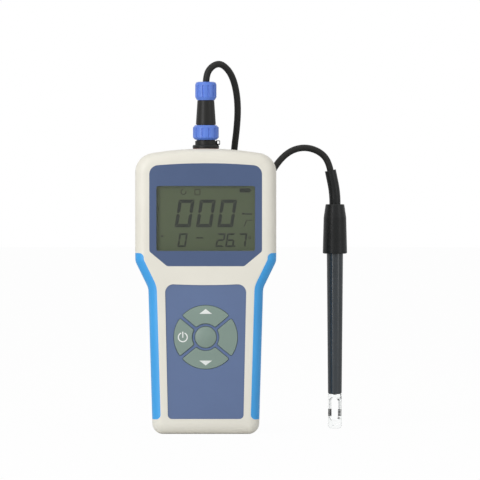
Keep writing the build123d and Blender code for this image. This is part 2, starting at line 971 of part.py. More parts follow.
def socket_body():
    """The socket's flange and threaded barrel."""
    profile = [
        (barrel_bore, barrel_bottom_z),
        (barrel_radius, barrel_bottom_z),
        (barrel_radius, flange_bottom_z),
        (flange_radius - 0.3, flange_bottom_z),
        (flange_radius, flange_bottom_z + 0.3),
        (flange_radius, flange_top_z - 0.5),
        (flange_radius - 0.5, flange_top_z),
        (barrel_radius, flange_top_z),
        (barrel_radius, barrel_top_z - 0.4),
        (barrel_radius - 0.4, barrel_top_z),
        (barrel_bore, barrel_top_z),
    ]
    return turned(profile)


def socket_insert():
    """The insulator that carries the pins and closes the barrel."""
    body = rod_z(barrel_bore, insert_back_z, insert_face_z)
    for place in pin_places():
        body -= rod_z(pin_radius, insert_back_z - 1, insert_face_z + 1, place)
    return body


def socket_pins():
    """The socket's pins, from their solder tails to their tips."""
    return [
        rod_z(pin_radius, insert_back_z - pin_tail, pin_top_z, place)
        for place in pin_places()
    ]


def socket_nut():
    """The hexagon nut that clamps the socket from inside the case."""
    top_z = case_height - wall - 0.35
    outline = RegularPolygon(socket_nut_flats / 2, 6, major_radius=False)
    outline -= Circle(barrel_radius + probe_fit)
    return extrude(Pos(0, 0, top_z - socket_nut_thickness) * outline, socket_nut_thickness)


def socket_wires():
    """The four wires from the socket's pins to the board connector."""
    connector_y = board_back_y + connector_depth
    wires = []
    for index, (x, y) in enumerate(pin_places()):
        end_x = (index - 1.5) * 2.2
        start_z = insert_back_z - pin_tail
        route = [
            (x, y, start_z),
            (x, y, start_z - 3.0),
            (end_x * 1.1, connector_y + 4.6, connector_z + 7.0),
            (end_x, connector_y + 4.0, connector_z),
            (end_x, connector_y, connector_z),
        ]
        wires.append(swept_tube(route, wire_radius))
    return wires


def route_radii(points):
    """The arc radius at each inner point: as large as its two runs allow."""
    radii = []
    for before, here, after in zip(points, points[1:], points[2:]):
        into = Vector(*here) - Vector(*before)
        out = Vector(*after) - Vector(*here)
        turn = math.radians(into.get_angle(out))
        radii.append(0.45 * min(into.length, out.length) / math.tan(turn / 2))
    return radii


def swept_tube(points, radius):
    """A round tube along straight runs joined by tangent arcs."""
    path = FilletPolyline(*points, radius=route_radii(points))
    start = Plane(origin=path @ 0, z_dir=path % 0)
    return sweep(start * Circle(radius), path=path)


def cable(name, points):
    """One stretch of the cable, with its size printed."""
    body = swept_tube(points, cable_radius)
    path = FilletPolyline(*points, radius=route_radii(points))
    ideal = math.pi * cable_radius**2 * path.length
    print(name, "length", round(path.length, 1), "volume ratio", round(body.volume / ideal, 4))
    print(name, "radii", [round(radius, 1) for radius in route_radii(points)])
    return body


def cable_coil():
    """The outer shape of the coil of put-away cable behind the case."""
    section = Pos(coil_mean_radius, coil_lift + coil_section / 2) * RectangleRounded(
        coil_section, coil_section, coil_corner
    )
    ring = revolve(Plane.XZ * section, Axis.Z)
    return Pos(coil_centre[0], coil_centre[1], 0) * ring


def cable_tie():
    """The strap that holds the coil together."""
    inner = coil_section + 2 * tie_gap
    outer = inner + 2 * tie_thickness
    section = RectangleRounded(outer, outer, coil_corner + tie_thickness)
    section -= RectangleRounded(inner, inner, coil_corner)
    strap = Pos(coil_mean_radius, 0, coil_lift + coil_section / 2) * extrude(
        Plane.XZ * section, amount=tie_width / 2, both=True
    )
    return Pos(coil_centre[0], coil_centre[1], 0) * Rot(0, 0, tie_angle) * strap


def tether_ring():
    """The ring on the socket's neck with the eye that a cap's cord ties to."""
    high = flange_top_z + ring_thickness
    body = tube_z(barrel_radius + ring_wall, barrel_radius + probe_fit, flange_top_z, high)
    lug_start = barrel_radius + ring_wall / 2
    lug = Pos((lug_start + lug_reach) / 2, 0, (flange_top_z + lug_top_z) / 2) * Box(
        lug_reach - lug_start, lug_thickness, lug_top_z - flange_top_z
    )
    lug = fillet(lug.edges().filter_by(Axis.Y).sort_by(Axis.X)[-2:], 0.5)
    eye_x = lug_reach - lug_rim - lug_eye_width / 2
    eye_z = lug_top_z - lug_rim - lug_eye_height / 2
    eye = Pos(eye_x, 0, eye_z) * Box(lug_eye_width, 2 * lug_thickness, lug_eye_height)
    body = body + lug - eye
    return body - rod_z(barrel_radius + probe_fit, flange_top_z - 1, lug_top_z + 1)


def grooved(body, radius, low, high, count):
    """Cuts finger grooves along the outside of a nut."""
    for index in range(count):
        angle = 360 * (index + 0.5) / count
        groove = rod_z(nut_groove_radius, low, high, (radius + nut_groove_stand, 0))
        body -= Rot(0, 0, angle) * groove
    return body


def coupling_nut():
    """The ribbed nut that screws the plug to the socket."""
    thread = barrel_radius + running_gap
    chamber = snap_ring_radius + 0.2
    lip = plug_neck_radius + running_gap
    profile = [
        (thread, nut_bottom_z),
        (nut_radius - nut_edge_round, nut_bottom_z),
        (nut_radius, nut_bottom_z + nut_edge_round),
        (nut_radius, nut_top_z - nut_edge_round),
        (nut_radius - nut_edge_round, nut_top_z),
        (lip, nut_top_z),
        (lip, nut_top_z - nut_lip),
        (chamber, nut_top_z - nut_lip),
        (chamber, barrel_top_z + 0.2),
        (thread, barrel_top_z + 0.2),
    ]
    body = turned(profile)
    low = nut_bottom_z + nut_groove_margin
    high = nut_top_z - nut_groove_margin
    return grooved(body, nut_radius, low, high, nut_groove_count)


def plug_sleeve_radius():
    """The outer radius of the plug's sleeve, which slides in the socket's barrel."""
    return barrel_bore - running_gap


def plug_body():
    """The plug's housing: sleeve, neck for the nut, tapered grip and gland thread."""
    sleeve = plug_sleeve_radius()
    bore = sleeve - sleeve_wall
    groove_radius = plug_neck_radius - snap_ring_depth
    profile = [
        (bore, sleeve_bottom_z),
        (sleeve, sleeve_bottom_z),
        (sleeve, barrel_top_z + 0.3),
        (groove_radius, barrel_top_z + 0.3),
        (groove_radius, snap_ring_z + snap_ring_thickness),
        (plug_neck_radius, snap_ring_z + snap_ring_thickness),
        (plug_neck_radius, plug_shoulder_z),
        (plug_low_radius, plug_shoulder_z),
        (plug_high_radius, plug_thread_z),
        (plug_thread_radius, plug_thread_z),
        (plug_thread_radius, plug_thread_top_z),
        (bush_radius + 0.05, plug_thread_top_z),
        (bush_radius + 0.05, bush_bottom_z),
        (plug_bore, bush_bottom_z),
        (plug_bore, plug_shoulder_z),
        (bore, plug_shoulder_z),
    ]
    return turned(profile)


def snap_ring():
    """The split ring that keeps the coupling nut on the plug."""
    bore = plug_neck_radius - snap_ring_depth
    body = tube_z(snap_ring_radius, bore, snap_ring_z, snap_ring_z + snap_ring_thickness)
    gap = Pos(0, snap_ring_radius, snap_ring_z) * Box(2.0, 4.0, 4.0)
    return body - gap


def plug_insert():
    """The insulator that carries the plug's contacts."""
    body = rod_z(plug_sleeve_radius() - sleeve_wall, sleeve_bottom_z + 0.2, plug_shoulder_z)
    for place in pin_places():
        body -= rod_z(contact_radius, sleeve_bottom_z - 1, plug_shoulder_z + 1, place)
    return body


def plug_contacts():
    """The plug's socket contacts, one round each pin."""
    contacts = []
    for place in pin_places():
        body = rod_z(contact_radius, sleeve_bottom_z + 0.4, plug_shoulder_z + 2, place)
        hole_top = pin_top_z + 0.6
        body -= rod_z(pin_radius + running_gap / 2, sleeve_bottom_z - 1, hole_top, place)
        contacts.append(body)
    return contacts


def plug_wires():
    """The cable's four cores inside the plug."""
    return [
        rod_z(0.55, plug_shoulder_z + 2, bush_bottom_z, place) for place in pin_places()
    ]


def gland_bush():
    """The rubber bush that grips the cable in the plug."""
    profile = [
        (0.0, bush_bottom_z),
        (bush_radius, bush_bottom_z),
        (bush_radius, plug_thread_top_z),
        (bush_radius - 0.8, bush_top_z),
        (0.0, bush_top_z),
    ]
    return turned(profile)


def gland_nut():
    """The ribbed nut that tightens the bush round the cable."""
    thread = plug_thread_radius + 0.05
    hole = cable_radius + gland_hole_gap
    profile = [
        (thread, gland_bottom_z),
        (gland_low_radius, gland_bottom_z),
        (gland_radius, gland_bottom_z + gland_taper_height),
        (gland_radius, gland_top_z - 1.6),
        (gland_radius - 0.5, gland_top_z - 0.5),
        (gland_radius - 1.6, gland_top_z),
        (hole, gland_top_z),
        (hole, bush_top_z + 0.6),
        (bush_radius - 0.6, bush_top_z + 0.1),
        (thread, plug_thread_top_z + 0.2),
    ]
    body = turned(profile)
    low = gland_bottom_z + gland_taper_height
    return grooved(body, gland_radius, low, gland_top_z - 1.9, nut_groove_count)


def at_probe(body):
    """Moves a body from the origin to the probe's axis."""
    return Pos(probe_x, probe_y, 0) * body


def lead_route(side):
    """The route of one electrode lead, from its plate up the probe."""
    return [
        (side * lead_spread, 0.0, plate_bottom_z + plate_height),
        (side * lead_spread, 0.0, slot_top_z + 0.6),
        (side * lead_core_spread, 0.0, tip_height + 4.0),
        (side * (lead_core_spread - 0.1), 0.0, tip_height + tip_spigot_height + 6),
        (side * lead_core_spread, 0.0, cap_bottom_z + cap_socket_depth),
    ]


def turned_tip(body):
    """Turns a body of the measuring tip to the way that its slot faces."""
    return at_probe(Rot(0, 0, tip_turn) * body)


def probe_tip():
    """The clear measuring cell: a slotted round guard with a spigot."""
    body = rod_z(tip_radius, 0, tip_height)
    body = fillet(body.edges().group_by(Axis.Z)[0], tip_edge_round)
    body += rod_z(tip_spigot_radius, tip_height, tip_height + tip_spigot_height)
    slot = Pos(0, (slot_bottom_z + slot_top_z) / 2) * SlotOverall(
        slot_top_z - slot_bottom_z, slot_width, rotation=90
    )
    body -= plate(slot, -2 * tip_radius, 2 * tip_radius)
    body -= plate(Pos(0, vent_z) * Circle(vent_radius), -2 * tip_radius, 2 * tip_radius)
    for side in (-1, 1):
        body -= electrode_plate(side)
        body -= swept_tube(lead_route(side)[:4], lead_radius)
    body -= rod_z(sensor_radius, tip_height - 0.5, tip_height + tip_spigot_height + 1)
    return turned_tip(body)


def electrode_plate(side):
    """One electrode plate, flush in the side wall of the slot."""
    return Pos(
        side * (slot_width + plate_thickness) / 2, 0, plate_bottom_z + plate_height / 2
    ) * Box(plate_thickness, plate_depth, plate_height)


def electrode_plates():
    """The two facing plates of the measuring cell."""
    return [turned_tip(electrode_plate(side)) for side in (-1, 1)]


def electrode_leads():
    """The two leads from the plates to the cable."""
    return [turned_tip(swept_tube(lead_route(side), lead_radius)) for side in (-1, 1)]


def temperature_sensor():
    """The small bead that measures the sample's temperature."""
    body = rod_z(sensor_radius, tip_height - 0.5, sensor_top_z)
    return at_probe(fillet(body.edges().group_by(Axis.Z)[-1], 0.5))


def shaft_radius(height):
    """The shaft's outer radius at a height: a slight taper."""
    share = (height - tip_height) / (cap_bottom_z - tip_height)
    return shaft_low_radius + share * (shaft_high_radius - shaft_low_radius)


def cell_collar():
    """The lower sleeve of the shaft, which holds the measuring cell."""
    profile = [
        (tip_spigot_radius + probe_fit, tip_height),
        (shaft_low_radius - 0.6, tip_height),
        (shaft_low_radius, tip_height + 0.6),
        (shaft_radius(collar_top_z), collar_top_z),
        (shaft_bore - probe_fit, collar_top_z),
        (shaft_bore - probe_fit, collar_top_z + shaft_spigot_height),
        (shaft_bore - 1.0, collar_top_z + shaft_spigot_height),
        (shaft_bore - 1.0, tip_height + tip_spigot_height + 2.0),
        (tip_spigot_radius + probe_fit, tip_height + tip_spigot_height + 2.0),
    ]
    return at_probe(turned(profile))


def probe_shaft():
    """The probe's long tube."""
    top_z = cap_bottom_z + cap_socket_depth
    profile = [
        (shaft_bore, collar_top_z + probe_fit),
        (shaft_radius(collar_top_z), collar_top_z + probe_fit),
        (shaft_high_radius, cap_bottom_z),
        (shaft_high_radius, top_z),
        (shaft_bore, top_z),
    ]
    return at_probe(turned(profile))


def probe_cap():
    """The probe's head, over the top of the shaft."""
    shaft_hole = shaft_high_radius + probe_fit
    socket_top = cap_bottom_z + cap_socket_depth
    profile = [
        (shaft_hole, cap_bottom_z),
        (cap_low_radius - 0.5, cap_bottom_z),
        (cap_low_radius, cap_bottom_z + 0.5),
        (cap_mid_radius, cap_cone_z),
        (cap_top_radius, cap_top_z - 0.3),
        (cap_top_radius - 0.3, cap_top_z),
        (relief_radius, cap_top_z),
        (relief_radius, cap_cavity_top_z),
        (cap_cavity_radius, cap_cavity_top_z),
        (cap_cavity_radius, socket_top),
        (shaft_hole, socket_top),
    ]
    return at_probe(turned(profile))


def potting_resin():
    """The resin that seals the joints of leads and cable in the head."""
    low = cap_bottom_z + cap_socket_depth
    return at_probe(rod_z(cap_cavity_radius, low, cap_cavity_top_z))


def strain_relief():
    """The bent rubber sleeve that guides the cable out of the head."""
    end = Vector(*coil_to_probe_route[-1])
    lean = end - Vector(*coil_to_probe_route[-2])
    bend = end + lean * ((probe_x - end.X) / lean.X)
    route = [
        (probe_x, probe_y, cap_cavity_top_z),
        (probe_x, probe_y, bend.Z),
        (end.X, end.Y, end.Z),
    ]
    return swept_tube(route, relief_radius)


def group(solids):
    """Like solids as one group."""
    return Compound(children=[Solid(s.solid().wrapped) for s in solids])


def write(name, body):
    """Writes one node."""
    if isinstance(body, list):
        body = group(body)
    export_step(body, "parts/" + name + ".step")


os.makedirs("parts", exist_ok=True)
write("front_shell", front_shell())
write("rear_shell", rear_shell())
write("left_grip", grip(-1))
write("right_grip", grip(1))
write("display_panel", plate(display_outline() - window_outline(), front_y, panel_back_y))
write("display_window", plate(window_outline(lens_margin), panel_back_y, lens_back_y))
write("keypad_panel", keypad_panel())
for key_name in stem_places():
    write(key_name, key(key_name))
write("keypad_mat", keypad_mat())
write("key_contacts", key_contacts())
write("lcd_glass", lcd_glass())
write("lcd_frame", lcd_frame())
write("lcd_contact_strips", lcd_contact_strips())
write("main_board", main_board())
write("board_chips", board_chips())
write("board_capacitors", board_capacitors())
write("lead_connector", lead_connector())
write("board_screws", board_screws())
write("case_screws", case_screws())
write("battery_cells", battery_cells())
write("battery_springs", battery_springs())
write("battery_contacts", battery_contacts())
write("battery_door", battery_door())
write("socket_gasket", socket_gasket())
write("socket_body", socket_body())
write("socket_insert", socket_insert())
write("socket_pins", socket_pins())
write("socket_nut", socket_nut())
write("socket_wires", socket_wires())
write("tether_ring", tether_ring())
write("coupling_nut", coupling_nut())
write("plug_body", plug_body())
write("snap_ring", snap_ring())
write("plug_insert", plug_insert())
write("plug_contacts", plug_contacts())
write("plug_wires", plug_wires())
write("gland_bush", gland_bush())
write("gland_nut", gland_nut())
write("cable_from_plug", cable("cable_from_plug", plug_to_coil_route))
write("cable_coil", cable_coil())
write("cable_tie", cable_tie())
write("cable_to_probe", cable("cable_to_probe", coil_to_probe_route))
write("strain_relief", strain_relief())
write("probe_cap", probe_cap())
write("potting_resin", potting_resin())
write("probe_shaft", probe_shaft())
write("cell_collar", cell_collar())
write("probe_tip", probe_tip())
write("electrode_plates", electrode_plates())
write("electrode_leads", electrode_leads())
write("temperature_sensor", temperature_sensor())
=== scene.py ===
import math

import bmesh
import bpy
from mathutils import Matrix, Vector


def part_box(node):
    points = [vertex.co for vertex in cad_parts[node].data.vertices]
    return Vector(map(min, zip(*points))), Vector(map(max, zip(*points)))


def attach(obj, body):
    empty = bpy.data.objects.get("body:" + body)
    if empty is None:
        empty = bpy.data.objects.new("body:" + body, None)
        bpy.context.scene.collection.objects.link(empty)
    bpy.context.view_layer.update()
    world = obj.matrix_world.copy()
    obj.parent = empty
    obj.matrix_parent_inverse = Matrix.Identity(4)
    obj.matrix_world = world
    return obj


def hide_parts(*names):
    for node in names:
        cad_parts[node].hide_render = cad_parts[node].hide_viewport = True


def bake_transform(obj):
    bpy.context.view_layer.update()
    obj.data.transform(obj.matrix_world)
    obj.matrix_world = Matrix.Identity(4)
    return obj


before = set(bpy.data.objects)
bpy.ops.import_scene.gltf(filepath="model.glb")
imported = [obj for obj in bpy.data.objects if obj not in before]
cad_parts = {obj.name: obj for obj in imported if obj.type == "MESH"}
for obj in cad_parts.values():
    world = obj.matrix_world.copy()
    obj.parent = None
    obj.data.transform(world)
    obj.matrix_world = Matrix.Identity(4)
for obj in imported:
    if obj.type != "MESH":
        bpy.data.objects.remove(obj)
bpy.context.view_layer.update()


# Case
# Two mouldings of off-white styrene plastic, screwed together from behind.
# Their surface is finely spark-eroded, so it is matt with a soft shine on the rounded edges.

MM = 0.001
NOISE_LOW, NOISE_HIGH = 0.3, 0.7
NOISE_DETAIL = 2.0
PATCH_DETAIL = 3.0
SHINE_MARGIN = 0.04
SHINE_PATCHES = 4


def only_node(tree, kind):
    """The one node of a kind that a new tree has."""
    return next(node for node in tree.nodes if node.type == kind)


def new_finish(name):
    """A material and its Principled shader."""
    material = bpy.data.materials.new(name)
    material.use_nodes = True
    return material, only_node(material.node_tree, "BSDF_PRINCIPLED")


def noise(tree, size, detail=NOISE_DETAIL):
    """Soft noise on the piece's own coordinates, whose features are about size metres across."""
    place = tree.nodes.new("ShaderNodeTexCoord").outputs["Object"]
    node = tree.nodes.new("ShaderNodeTexNoise")
    node.inputs["Scale"].default_value = 1.0 / size
    node.inputs["Detail"].default_value = detail
    tree.links.new(place, node.inputs["Vector"])
    return node.outputs["Fac"]


def spread(tree, value, low, high):
    """A noise stretched to lie between low and high."""
    node = tree.nodes.new("ShaderNodeMapRange")
    node.inputs["From Min"].default_value = NOISE_LOW
    node.inputs["From Max"].default_value = NOISE_HIGH
    node.inputs["To Min"].default_value = low
    node.inputs["To Max"].default_value = high
    tree.links.new(value, node.inputs["Value"])
    return node.outputs["Result"]


def colour_patches(tree, shader, light, dark, size):
    """A colour that passes between light and dark in soft patches."""
    node = tree.nodes.new("ShaderNodeMix")
    node.data_type = "RGBA"
    # The node also has sockets for plain numbers and vectors, so its colour ones go by place.
    share, first, second, result = node.inputs[0], node.inputs[6], node.inputs[7], node.outputs[2]
    first.default_value = (*light, 1.0)
    second.default_value = (*dark, 1.0)
    tree.links.new(spread(tree, noise(tree, size, PATCH_DETAIL), 0.0, 1.0), share)
    tree.links.new(result, shader.inputs["Base Color"])


def uneven_shine(tree, shader, roughness, margin, size, detail=NOISE_DETAIL):
    """A roughness that varies by a margin either way."""
    shine = spread(tree, noise(tree, size, detail), roughness - margin, roughness + margin)
    tree.links.new(shine, shader.inputs["Roughness"])


def grain(tree, shader, size, depth):
    """A fine surface grain, depth metres deep."""
    bump = tree.nodes.new("ShaderNodeBump")
    bump.inputs["Strength"].default_value = 1.0
    bump.inputs["Distance"].default_value = depth
    tree.links.new(noise(tree, size), bump.inputs["Height"])
    tree.links.new(bump.outputs["Normal"], shader.inputs["Normal"])


def moulded(name, light, dark, roughness, grain_size, grain_depth, patch=30.0 * MM, gloss=0.5):
    """Moulded plastic or rubber: two close colours in soft patches and a fine grain."""
    material, shader = new_finish(name)
    tree = material.node_tree
    colour_patches(tree, shader, light, dark, patch)
    uneven_shine(tree, shader, roughness, SHINE_MARGIN, patch / SHINE_PATCHES)
    shader.inputs["Specular IOR Level"].default_value = gloss
    grain(tree, shader, grain_size, grain_depth)
    return material


def dress(material, *names):
    """Gives CAD nodes their finish."""
    for name in names:
        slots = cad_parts[name].data.materials
        slots.clear()
        slots.append(material)


case_plastic = moulded(
    "case_plastic",
    light=(0.79, 0.765, 0.68),
    dark=(0.76, 0.735, 0.65),
    roughness=0.44,
    grain_size=0.35 * MM,
    grain_depth=0.008 * MM,
)
dress(case_plastic, "front_shell", "rear_shell")


# Side grips
# Soft blue rubber strips let into both sides of the case and wrapped round its edges.
# Moulded over the case, with a smooth satin skin.

grip_rubber = moulded(
    "grip_rubber",
    light=(0.045, 0.37, 0.80),
    dark=(0.04, 0.34, 0.76),
    roughness=0.40,
    grain_size=0.3 * MM,
    grain_depth=0.006 * MM,
)
dress(grip_rubber, "left_grip", "right_grip")


# Display panel and window
# A dark blue plastic plate let into the head, with a clear lens behind its window.
# The plate is printed from behind, so its colour is even and its surface lightly frosted.

panel_plate = moulded(
    "panel_plate",
    light=(0.062, 0.100, 0.205),
    dark=(0.056, 0.092, 0.192),
    roughness=0.42,
    grain_size=0.25 * MM,
    grain_depth=0.004 * MM,
)
dress(panel_plate, "display_panel")


def mix_on_surface(tree, share, first, second):
    """Shows the first shader where share is 0 and the second where it is 1."""
    mix = tree.nodes.new("ShaderNodeMixShader")
    for source, socket in zip((share, first, second), mix.inputs):
        tree.links.new(source, socket)
    tree.links.new(mix.outputs["Shader"], only_node(tree, "OUTPUT_MATERIAL").inputs["Surface"])


def clear_pane(name, tint, roughness, index):
    """A thin clear pane that mirrors a little and lets lamps through."""
    material, shader = new_finish(name)
    tree = material.node_tree
    tree.nodes.remove(shader)
    see = tree.nodes.new("ShaderNodeBsdfTransparent")
    see.inputs["Color"].default_value = (*tint, 1.0)
    mirror = tree.nodes.new("ShaderNodeBsdfGlossy")
    mirror.inputs["Roughness"].default_value = roughness
    edge = tree.nodes.new("ShaderNodeFresnel")
    edge.inputs["IOR"].default_value = index
    mix_on_surface(tree, edge.outputs["Fac"], see.outputs["BSDF"], mirror.outputs["BSDF"])
    return material


window_lens = clear_pane("window_lens", tint=(0.95, 0.96, 0.94), roughness=0.06, index=1.30)
dress(window_lens, "display_window")


# Liquid crystal display
# A glass sandwich with a grey-green field, held in a white frame on the board.
# Its figures are dark segments etched in the front glass, all slanted alike.

display_field = moulded(
    "display_field",
    light=(0.122, 0.150, 0.078),
    dark=(0.108, 0.136, 0.072),
    roughness=0.35,
    grain_size=0.6 * MM,
    grain_depth=0.002 * MM,
    patch=50.0 * MM,
)
dress(display_field, "lcd_glass")

segment_ink = moulded(
    "segment_ink",
    light=(0.008, 0.013, 0.009),
    dark=(0.006, 0.010, 0.007),
    roughness=0.35,
    grain_size=0.6 * MM,
    grain_depth=0.001 * MM,
    patch=20.0 * MM,
)

SEGMENTS = {"0": "abcdef", "2": "abged", "6": "acdefg", "7": "abc"}
SLANT = 0.155
INK_THICKNESS = 0.06 * MM
LARGE_FIGURE = dict(width=9.4 * MM, height=16.4 * MM, stroke=1.95 * MM, gap=0.14 * MM)
LARGE_ROW_Z = 123.3 * MM
LARGE_START_X, LARGE_PITCH, LARGE_COUNT = -18.5 * MM, 12.65 * MM, 3
SMALL_FIGURE = dict(width=5.0 * MM, height=8.2 * MM, stroke=1.05 * MM, gap=0.09 * MM)
SMALL_ROW_Z = 111.5 * MM
SMALL_FIGURES_X = (("0", -16.9 * MM), ("2", 5.7 * MM), ("6", 11.5 * MM), ("7", 18.6 * MM))
RING_STEPS = 16


def segment_outline(kind, width, height, stroke, gap):
    """One of a figure's seven segments, with mitred ends, in the figure's own plane."""
    middle = height / 2
    inner = stroke + gap
    bar = [
        (gap, height),
        (width - gap, height),
        (width - inner, height - stroke),
        (inner, height - stroke),
    ]
    post = [
        (width, height - gap),
        (width, middle + stroke / 4 + gap),
        (width - stroke / 2, middle + gap),
        (width - stroke, middle + stroke / 2 + gap),
        (width - stroke, height - inner),
    ]
    centre_bar = [
        (stroke / 2 + gap, middle),
        (inner, middle + stroke / 2),
        (width - inner, middle + stroke / 2),
        (width - stroke / 2 - gap, middle),
        (width - inner, middle - stroke / 2),
        (inner, middle - stroke / 2),
    ]
    shapes = {"a": bar, "b": post, "g": centre_bar}
    shapes["d"] = [(x, height - z) for x, z in reversed(bar)]
    shapes["c"] = [(x, height - z) for x, z in reversed(post)]
    shapes["f"] = [(width - x, z) for x, z in reversed(post)]
    shapes["e"] = [(width - x, height - z) for x, z in post]
    return shapes[kind]


def figure(symbol, left, foot, width, height, stroke, gap):
    """A slanted seven-segment figure whose lower left corner is at (left, foot)."""
    outlines = []
    for kind in SEGMENTS[symbol]:
        corners = segment_outline(kind, width, height, stroke, gap)
        outlines.append([(left + x + z * SLANT, foot + z) for x, z in corners])
    return outlines


def block(x, z, width, height, slant=0.0):
    """A plain bar with its lower left corner at (x, z)."""
    return [(x, z), (x + width, z), (x + width + slant, z + height), (x + slant, z + height)]


def frame_bars(x, z, width, height, stroke):
    """The four bars of an open box."""
    return [
        block(x, z, width, stroke),
        block(x, z + height - stroke, width, stroke),
        block(x, z + stroke, stroke, height - 2 * stroke),
        block(x + width - stroke, z + stroke, stroke, height - 2 * stroke),
    ]


def arc_bars(x, z, radius, stroke, start, end, steps):
    """A ring or part of one, as short bars about (x, z), with angles in degrees."""
    bars = []
    for index in range(steps):
        corners = []
        for share, depth in ((0, 0), (1, 0), (1, 1), (0, 1)):
            angle = math.radians(start + (end - start) * (index + share) / steps)
            reach = radius - stroke * depth
            corners.append((x + reach * math.cos(angle), z + reach * math.sin(angle)))
        bars.append(corners)
    return bars


def slab_prints(name, outlines, front_of, thickness):
    """Thin printed shapes: each outline of (x, z) points becomes a closed slab."""
    mesh = bmesh.new()
    for outline in outlines:
        fronts = [mesh.verts.new((x, front_of(x, z) - thickness / 2, z)) for x, z in outline]
        backs = [mesh.verts.new((x, front_of(x, z) + thickness / 2, z)) for x, z in outline]
        mesh.faces.new(fronts)
        mesh.faces.new(list(reversed(backs)))
        count = len(outline)
        for index in range(count):
            after = (index + 1) % count
            mesh.faces.new((fronts[after], fronts[index], backs[index], backs[after]))
    bmesh.ops.recalc_face_normals(mesh, faces=mesh.faces)
    data = bpy.data.meshes.new(name)
    mesh.to_mesh(data)
    mesh.free()
    piece = bpy.data.objects.new(name, data)
    bpy.context.scene.collection.objects.link(piece)
    return piece


lcd_prints = []
for index in range(LARGE_COUNT):
    lcd_prints += figure("0", LARGE_START_X + LARGE_PITCH * index, LARGE_ROW_Z, **LARGE_FIGURE)
for symbol, left in SMALL_FIGURES_X:
    lcd_prints += figure(symbol, left, SMALL_ROW_Z, **SMALL_FIGURE)

# The small signs are simplified to bars: left edge, foot, width, height and slant in millimetres.
decimal_point = (16.7, 111.6, 0.9, 0.9)
dash = (-5.7, 116.6, 4.2, 0.8)
edge_mark = (-26.6, 117.6, 1.4, 0.8)
unit_short_bar = (21.6, 130.8, 1.6, 1.1)
unit_long_bar = (23.6, 130.8, 3.9, 0.8)
unit_stroke = (22.6, 123.6, 0.5, 4.2, 1.6)
unit_low_bar = (25.4, 127.2, 1.9, 0.5)
battery_sign = (20.2, 144.0, 6.2, 2.4)
battery_sign_button = (26.5, 144.7, 0.7, 1.0)
for sign in (
    decimal_point,
    dash,
    edge_mark,
    unit_short_bar,
    unit_long_bar,
    unit_stroke,
    unit_low_bar,
    battery_sign,
    battery_sign_button,
):
    lcd_prints.append(block(*(size * MM for size in sign)))
degree_ring = dict(x=26.2 * MM, z=117.2 * MM, radius=0.8 * MM, stroke=0.35 * MM)
lcd_prints += arc_bars(**degree_ring, start=0, end=360, steps=RING_STEPS)
open_ring = dict(x=-13.2 * MM, z=144.3 * MM, radius=1.7 * MM, stroke=0.45 * MM)
lcd_prints += arc_bars(**open_ring, start=100, end=380, steps=RING_STEPS)
open_box = dict(x=-6.6 * MM, z=142.4 * MM, width=3.4 * MM, height=3.6 * MM, stroke=0.4 * MM)
lcd_prints += frame_bars(**open_box)

lcd_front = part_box("lcd_glass")[0].y
lcd_figures = slab_prints("lcd_figures", lcd_prints, lambda x, z: lcd_front, INK_THICKNESS)
lcd_figures.data.materials.append(segment_ink)
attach(lcd_figures, "meter")

frame_plastic = moulded(
    "frame_plastic",
    light=(0.74, 0.74, 0.70),
    dark=(0.70, 0.70, 0.66),
    roughness=0.5,
    grain_size=0.4 * MM,
    grain_depth=0.006 * MM,
)
dress(frame_plastic, "lcd_frame")
strip_rubber = moulded(
    "strip_rubber",
    light=(0.60, 0.30, 0.32),
    dark=(0.50, 0.24, 0.27),
    roughness=0.6,
    grain_size=0.2 * MM,
    grain_depth=0.005 * MM,
    patch=2.0 * MM,
)
dress(strip_rubber, "lcd_contact_strips")


# Keypad
# A lighter blue plate set half a millimetre into the handle, with five rubber keys.
# The keys share one rubber mould: four parts of a wheel and a domed round one.

keypad_plate = moulded(
    "keypad_plate",
    light=(0.108, 0.162, 0.305),
    dark=(0.100, 0.150, 0.285),
    roughness=0.45,
    grain_size=0.25 * MM,
    grain_depth=0.005 * MM,
)
dress(keypad_plate, "keypad_panel")
key_rubber = moulded(
    "key_rubber",
    light=(0.215, 0.290, 0.252),
    dark=(0.200, 0.272, 0.236),
    roughness=0.42,
    grain_size=0.22 * MM,
    grain_depth=0.004 * MM,
)
dress(key_rubber, "key_up", "key_down", "key_power", "key_right", "key_centre")
mat_rubber = moulded(
    "mat_rubber",
    light=(0.33, 0.35, 0.36),
    dark=(0.29, 0.31, 0.32),
    roughness=0.6,
    grain_size=0.3 * MM,
    grain_depth=0.006 * MM,
)
dress(mat_rubber, "keypad_mat")
legend_ink = moulded(
    "legend_ink",
    light=(0.80, 0.82, 0.80),
    dark=(0.74, 0.76, 0.74),
    roughness=0.5,
    grain_size=0.3 * MM,
    grain_depth=0.002 * MM,
    patch=4.0 * MM,
)

WHEEL_Z = 58.0 * MM
KEY_TOP_Y = -16.4 * MM
WHEEL_DOME = 260.0 * MM
LEGEND_LIFT = 0.03 * MM
LEGEND_THICKNESS = 0.06 * MM
ARROW_HALF_WIDTH = 3.8 * MM
ARROW_FOOT, ARROW_TIP = 13.9 * MM, 16.8 * MM
POWER_X = -13.6 * MM
POWER_RADIUS, POWER_STROKE = 3.0 * MM, 0.7 * MM
POWER_START, POWER_END, POWER_STEPS = 112, 428, 36
POWER_STEM_DROP, POWER_STEM_HEIGHT = 0.3 * MM, 3.6 * MM


def on_wheel(x, z):
    """The depth of the key wheel's domed face at a place."""
    reach_squared = x * x + (z - WHEEL_Z) ** 2
    return KEY_TOP_Y + WHEEL_DOME - math.sqrt(WHEEL_DOME**2 - reach_squared) - LEGEND_LIFT


def legend(name, outlines, body):
    """A sign printed on a key."""
    piece = slab_prints(name, outlines, on_wheel, LEGEND_THICKNESS)
    piece.data.materials.append(legend_ink)
    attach(piece, body)


